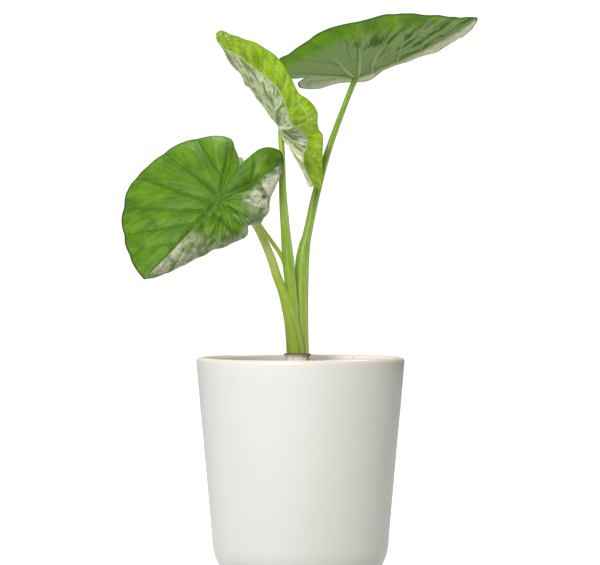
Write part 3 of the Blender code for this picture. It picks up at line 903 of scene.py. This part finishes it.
def crumple_mask(given, blade):
    """Where the blade is crumpled, from 0 to 1."""
    masks = []
    for begins, strength, ends in given:
        turned = 1.0 - smooth_step(blade.turned, ends - 25.0, ends + 5.0)
        masks.append(strength * turned * smooth_step(blade.spread, begins - 0.15, begins + 0.2))
    return np.where(blade.is_first, *masks)


def bloom_and_reflection_mask(given, blade):
    """Where the dull wax and its painted reflection lie, from 0 to 1, with an uneven border."""
    ends = np.where(blade.is_first, *(np.interp(blade.turned, *np.array(half).T) for half in given))
    return 1.0 - smooth_step(blade.spread + 0.08 * blade.folds, ends - 0.13, ends + 0.07)


def painted_sheen_mask(given, blade):
    """Where the painted silver sheen lies on the second half, from 0 to 1."""
    if not given:
        return np.zeros(len(blade.turned))
    turned, starts, strengths = np.array(given).T
    degrees = blade.turned + 9.0 * blade.folds
    begins = np.interp(degrees, turned, starts)
    light = smooth_step(blade.spread + 0.12 * blade.folds, begins - 0.16, begins + 0.16)
    return np.where(blade.is_first, 0.0, np.interp(degrees, turned, strengths) * light)


def furrow_mask(given, blade, outline):
    """A soft line along the furrow, from 0 to 1."""
    way, points = given
    if not points:
        return np.zeros(len(blade.turned))
    line = flat_line(points, way, outline)
    gap, _ = line_distance(blade.flat, np.column_stack([line, np.ones(len(line))]))
    return np.exp(-((gap / FURROW_WIDTH) ** 2)) * blade.away


def read_blade(given, seed, outline, column, spread):
    """All that the relief and the finish need to know of the points of a leaf, by their column round
    the edge and their share of the way out to it."""
    angles, lengths = outline
    blade = SimpleNamespace(spread=spread, angle=angles[column])
    blade.edge_gap = lengths[column] * (1.0 - spread)
    blade.turned = np.abs(np.degrees(blade.angle))
    blade.is_first = blade.angle >= 0.0
    blade.away = smooth_step(spread, 0.04, 0.2)
    rays = np.column_stack([np.cos(blade.angle), np.sin(blade.angle)])
    blade.flat = (lengths[column] * spread)[:, None] * rays
    lines = vein_lines(given["veins"], outline, lengths[len(lengths) // 2])
    blade.near, blade.widths, second = vein_distances(blade.flat, lines)
    both = blade.near + second
    blade.pillow = 4.0 * blade.near * second / np.maximum(both**2, 1e-6) * np.clip(both / 9.0, 0.0, 1.0)

    def spots(across, along, depth):
        return [Vector((a, b, depth)) for a, b in zip(across, along)]

    x, y = blade.flat.T
    blade.folds = np.array([noise.fractal(v, 0.8, 2.2, 3) for v in spots(0.13 * x, 0.13 * y, seed)])
    creases = spots(8.0 * blade.angle, 2.4 * spread, seed + 5.0)
    blade.creases = np.array([noise.noise(v) for v in creases])
    blade.ripple = np.array([noise.noise(v) for v in spots(0.08 * x, 0.08 * y, seed + 9.0)])
    blade.furrowed = furrow_mask(given["furrow"], blade, outline)
    # dull wax together with a painted reflection of the bright surroundings
    blade.bloom = bloom_and_reflection_mask(given["bloom"], blade)
    blade.silver = painted_sheen_mask(given["silver"], blade) * (1.0 - 0.8 * blade.furrowed)
    blade.crumple = crumple_mask(given["crumple"], blade) * (0.25 + 0.75 * blade.bloom)
    return blade


def blade_lift(blade):
    """How far the skin stands off the smooth sheet: full between the veins, sunk along them, crumpled
    and furrowed, and rippled towards the edge."""
    inner = 1.0 - smooth_step(blade.spread, 0.86, 1.0)
    groove = np.exp(-((blade.near / (blade.widths * 1.6)) ** 2)) * smooth_step(blade.spread, 0.02, 0.14)
    lift = PILLOW_HEIGHT * blade.pillow * blade.away * (0.3 + 0.7 * inner) - GROOVE_DEPTH * groove * inner
    beside = 0.3 + 0.7 * smooth_step(np.abs(blade.flat[:, 1]), 2.0, 8.0)
    crumples = FOLD_HEIGHT * blade.folds + CREASE_HEIGHT * blade.creases
    lift += crumples * blade.crumple * blade.away * beside * (0.4 + 0.6 * inner)
    lift += EDGE_RIPPLE * blade.ripple * blade.spread**4
    return lift - FURROW_DEPTH * blade.furrowed


def blade_thickness(blade):
    """Thickness: thin between the veins, thick over them, and thickest where the stem joins."""
    rib = np.clip(blade.widths / 0.95, 0.0, 1.0) * np.exp(-((blade.near / (blade.widths * 1.15)) ** 2))
    boss = np.exp(-((np.linalg.norm(blade.flat, axis=1) / BOSS_REACH) ** 2))
    boss *= 1.0 - smooth_step(np.abs(blade.angle), 2.5, 3.0)
    return LEAF_THIN + np.maximum((RIB_THICK - LEAF_THIN) * rib, (LEAF_THICK - LEAF_THIN) * boss)


def leaf_shape(given, seed):
    """The upper side of a leaf as a bmesh, with the layers and maps its finish needs."""
    leaf = {key: np.array(given[key], float) for key in ("joint", "turn", "first", "second")}
    columns, rows = given["mesh"]
    outs, arches, ups, lengths, angles = edge_table(leaf, columns)
    spreads = np.linspace(0.0, 1.0, rows + 1)
    lifts = 4.0 * spreads * (1.0 - spreads) * arches[:, None] * MM
    points = leaf["joint"] * MM + outs[:, None, :] * MM * spreads[None, :, None]
    points = points + ups[:, None, :] * lifts[..., None]
    normals = surface_ups(points, ups)

    shape = bmesh.new()
    bmesh.ops.create_grid(shape, x_segments=columns, y_segments=rows, size=1.0)
    shape.verts.ensure_lookup_table()
    column = np.array([round((v.co.x + 1.0) / 2.0 * columns) for v in shape.verts])
    row = np.array([round((v.co.y + 1.0) / 2.0 * rows) for v in shape.verts])
    blade = read_blade(given, seed, (angles, lengths), column, spreads[row])
    bulge = EDGE_BULGE * (blade.pillow - 0.5) * blade.spread**6
    place = points[column, row] + normals[column, row] * blade_lift(blade)[:, None]
    place += outs[column] * MM * bulge[:, None]
    thick = blade_thickness(blade) / LEAF_THICK

    ribs = shape.verts.layers.deform.verify()
    layers = {name: getattr(blade, name) for name in ("edge_gap", "bloom", "silver", "crumple")}
    layers["vein_gap"] = blade.near / blade.widths
    handles = [(shape.verts.layers.float.new(name), values) for name, values in layers.items()]
    flat_map = shape.loops.layers.uv.new("flat")
    polar_map = shape.loops.layers.uv.new("polar")
    for i, vert in enumerate(shape.verts):
        vert.co = place[i]
        vert[ribs][0] = float(thick[i])
        for handle, values in handles:
            vert[handle] = float(values[i])
    for face in shape.faces:
        for loop in face.loops:
            i = loop.vert.index
            loop[flat_map].uv = blade.flat[i] / 100.0
            loop[polar_map].uv = (blade.angle[i] / math.pi, blade.spread[i])
    bmesh.ops.remove_doubles(shape, verts=shape.verts, dist=0.01 * MM)
    if given["turn"] > 0:
        bmesh.ops.reverse_faces(shape, faces=shape.faces)
    return shape


def scaled_sum(tree, value, factor, added):
    """value * factor + added, each a socket or a number."""
    inputs = {0: value, 1: factor, 2: added}
    return add_node(tree, "Math", inputs, operation="MULTIPLY_ADD").outputs["Value"]


def relief_group():
    """Shared leaf pattern: masks for the veins, their furrows, the fine net, the edge, the dull wax with
    its painted reflection, the painted silver sheen and its bare patches, the crumples and their streaks,
    two sizes of mottling, and the relief of the skin."""
    group = bpy.data.node_groups.new("leaf_relief", "ShaderNodeTree")
    layers = {}
    for name in ("vein_gap", "edge_gap", "bloom", "silver", "crumple"):
        layers[name] = add_node(group, "Attribute", attribute_name=name).outputs["Fac"]
    flat = add_node(group, "UVMap", uv_map="flat").outputs["UV"]
    polar = add_node(group, "UVMap", uv_map="polar").outputs["UV"]
    inputs = {"Vector": flat, "Scale": 26.0, "Randomness": 0.9}
    cells = add_node(group, "TexVoronoi", inputs, feature="DISTANCE_TO_EDGE").outputs["Distance"]
    net = map_range(group, cells, 0.0, 0.12, 1.0, 0.0)
    streak = noise_node(group, polar, 1.0, 4.0, (44.0, 4.0, 1.0))
    rough = map_range(group, layers["crumple"], 0.0, 1.0, 0.25, 2.2)
    fine = noise_node(group, flat, 120.0, 3.0)
    given = {
        "Vein": map_range(group, layers["vein_gap"], 0.45, 1.35, 1.0, 0.0),
        # a band beside each vein, where the finish paints shade in the grooves
        "Furrow": map_range(group, layers["vein_gap"], 1.0, 3.6, 1.0, 0.0),
        "Net": net,
        "Edge": map_range(group, layers["edge_gap"], 0.7, 2.0, 1.0, 0.0),
        "Bloom": layers["bloom"],
        "Silver": layers["silver"],
        "Crumple": layers["crumple"],
        "Streak": map_range(group, streak, 0.36, 0.64),
        "Patch": map_range(group, noise_node(group, flat, 13.0, 5.0), 0.50, 0.60),
        "Mottle": map_range(group, noise_node(group, flat, 5.5, 4.0), 0.36, 0.64),
        "Grain": map_range(group, noise_node(group, flat, 42.0, 4.0), 0.38, 0.62),
        "Height": scaled_sum(group, net, -0.6, scaled_sum(group, streak, rough, fine)),
    }
    for name in given:
        group.interface.new_socket(name, in_out="OUTPUT", socket_type="NodeSocketFloat")
    fill(group, group.nodes.new("NodeGroupOutput"), given)
    return group


relief = relief_group()


def leaf_finish(name, look):
    """One side of a leaf: greens that vary over the blade, veins, wax, painted shade, sheen and highlights,
    and light from behind.
    """
    material, tree, shader = new_material(name)
    masks = add_node(tree, "Group", node_tree=relief).outputs

    def strength(mask, least, most, start=0.0, end=1.0):
        return map_range(tree, mask, start, end, least, most)

    def painted(below, amount, colour):
        return mix_colour(tree, amount, below, colour)

    tone = painted(look["dark"], masks["Mottle"], look["light"])
    # the furrow colour is painted shade in the grooves beside the veins
    for mask in ("Grain", "Bloom", "Net", "Furrow"):
        *colour, share = look[mask.lower()]
        tone = painted(tone, strength(masks[mask], 0.0, share), colour)
    # painted shade under the silver sheen, then the painted silvery reflection itself, broken into patches
    tone = painted(tone, strength(masks["Silver"], 0.0, look["shade"]), look["painted_shade"])
    speckled = strength(masks["Grain"], 0.70, 1.0, end=0.5)
    silver = strength(masks["Silver"], 0.0, speckled)
    silver = strength(masks["Patch"], silver, 0.0, end=look["patch"])
    tone = painted(tone, silver, look["silver"])
    # painted shade and painted highlight streaks over the crumples, standing in for the light on their
    # wrinkles
    creased = strength(masks["Crumple"], *look["streaks"])
    creased = strength(silver, creased, 0.25)
    tone = painted(tone, strength(masks["Streak"], 0.0, creased, 0.50, 0.22), look["painted_shade"])
    tone = painted(tone, strength(masks["Streak"], 0.0, creased, 0.62, 0.90), look["painted_highlight"])
    *vein_colour, vein_share = look["vein"]
    vein = strength(masks["Vein"], 0.0, vein_share)
    tone = painted(tone, vein, vein_colour)
    fill(tree, shader, {
        "Base Color": painted(tone, masks["Edge"], look["edge"]),
        "Roughness": look["rough"],
        "Specular IOR Level": look["shine"],
        "Normal": bump(tree, masks["Height"], look["bump"], 0.5 * MM),
    })
    glow = painted(look["glow"], vein, look["glow_vein"])
    through = add_node(tree, "BsdfTranslucent", {"Color": glow}).outputs["BSDF"]
    share = strength(silver, look["through"], 0.08)
    both = add_node(tree, "MixShader", {0: share, 1: shader.outputs["BSDF"], 2: through})
    tree.links.new(both.outputs["Shader"], tree.nodes["Material Output"].inputs["Surface"])
    return material


# Looks of the two sides of a grown and of a young leaf. Grain, bloom, net, furrow and vein are a
# colour and its strength. Bloom is dull wax with a painted reflection, and furrow is painted shade
# beside the veins. Silver is a painted sheen, patch is how far its bare patches stay covered, shade is
# how strongly painted shade lies under it, and streaks are the strength of the painted shade and
# highlight streaks where the blade is smooth and where it is crumpled. The young leaves have no silver.
GREEN_ABOVE = {
    "dark": (0.065, 0.16, 0.002), "light": (0.165, 0.365, 0.004), "edge": (0.035, 0.065, 0.018),
    "grain": (0.19, 0.39, 0.012, 0.22), "bloom": (0.1, 0.21, 0.015, 0.2),
    "net": (0.13, 0.27, 0.03, 0.08), "furrow": (0.045, 0.12, 0.004, 0.7), "vein": (0.13, 0.27, 0.03, 0.45),
    "painted_shade": (0.065, 0.13, 0.014), "painted_highlight": (0.27, 0.43, 0.07), "streaks": (0.28, 0.7),
    "silver": (0.71, 0.7, 0.57), "patch": 1.5, "shade": 0.75,
    "glow": (0.32, 0.6, 0.005), "glow_vein": (0.2, 0.36, 0.01), "through": 0.34,
    "rough": 0.4, "shine": 0.3, "bump": 0.5,
}
PLAIN_ABOVE = dict(GREEN_ABOVE, silver=(0.12, 0.26, 0.006), shade=0.0, shine=0.22)
GREEN_BELOW = {
    "dark": (0.12, 0.26, 0.002), "light": (0.32, 0.6, 0.003), "edge": (0.06, 0.1, 0.03),
    "grain": (0.22, 0.42, 0.02, 0.12), "bloom": (0.41, 0.45, 0.29, 0.92),
    "net": (0.76, 0.82, 0.5, 0.1), "furrow": (0.13, 0.19, 0.06, 0.3), "vein": (0.76, 0.82, 0.5, 0.85),
    "painted_shade": (0.05, 0.085, 0.014), "painted_highlight": (0.38, 0.45, 0.24), "streaks": (0.05, 0.95),
    "silver": (0.82, 0.87, 0.62), "patch": 4.0, "shade": 0.0,
    "glow": (0.42, 0.74, 0.004), "glow_vein": (0.26, 0.46, 0.03), "through": 0.38,
    "rough": 0.45, "shine": 0.28, "bump": 0.5,
}
YOUNG_ABOVE = GREEN_BELOW | {
    "dark": (0.15, 0.3, 0.001), "light": (0.43, 0.68, 0.003), "edge": (0.3, 0.47, 0.03),
    "grain": (0.6, 0.84, 0.03, 0.4), "bloom": (0.36, 0.6, 0.02, 0.0),
    "net": (0.8, 0.93, 0.36, 0.32), "furrow": (0.26, 0.45, 0.004, 0.25), "vein": (0.8, 0.93, 0.36, 0.8),
    "painted_shade": (0.11, 0.23, 0.004), "painted_highlight": (0.7, 0.88, 0.12), "streaks": (0.25, 0.45),
    "glow": (0.66, 0.92, 0.004), "glow_vein": (0.76, 0.92, 0.2), "through": 0.42,
    "rough": 0.36, "shine": 0.36, "bump": 0.9,
}
YOUNG_BELOW = GREEN_BELOW | {
    "dark": (0.5, 0.53, 0.35), "light": (0.76, 0.78, 0.6), "edge": (0.5, 0.58, 0.32),
    "grain": (0.78, 0.8, 0.62, 0.35), "bloom": (0.62, 0.66, 0.48, 0.3),
    "net": (0.95, 1.0, 0.62, 0.15), "furrow": (0.22, 0.29, 0.1, 0.3), "vein": (0.95, 1.0, 0.62, 1.0),
    "painted_shade": (0.19, 0.24, 0.1), "painted_highlight": (0.8, 0.83, 0.66), "streaks": (0.0, 0.85),
    "glow": (0.56, 0.8, 0.05), "glow_vein": (0.6, 0.76, 0.16), "through": 0.18,
    "rough": 0.34, "shine": 0.5, "bump": 0.9,
}
green_below = leaf_finish("leaf_below", GREEN_BELOW)
young = (leaf_finish("young_above", YOUNG_ABOVE), leaf_finish("young_below", YOUNG_BELOW))
FINISHES = {
    "left": (leaf_finish("leaf_above", GREEN_ABOVE), green_below),
    "middle": young,
    "right": (leaf_finish("leaf_above_plain", PLAIN_ABOVE), green_below),
    "young": young,
}

for seed, (name, given) in enumerate(LEAVES.items()):
    above, below = FINISHES[name]
    slot = "young_leaf" if FINISHES[name] is young else "leaf"
    piece = add_piece("leaf_" + name, leaf_shape(given, 3.0 + seed * 17.0), slot, "blade_" + name)
    piece.vertex_groups.new(name="ribs")
    for finish in (above, below, above):
        piece.data.materials.append(finish)
    sheet = piece.modifiers.new("thickness", "SOLIDIFY")
    sheet.thickness = LEAF_THICK
    sheet.vertex_group = "ribs"
    sheet.offset = -1.0
    sheet.use_rim = True
    sheet.material_offset = 1
    sheet.material_offset_rim = 2

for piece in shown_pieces():
    if piece.name.startswith(("leaf_", "stalk_")):
        lit_plant.objects.link(piece)
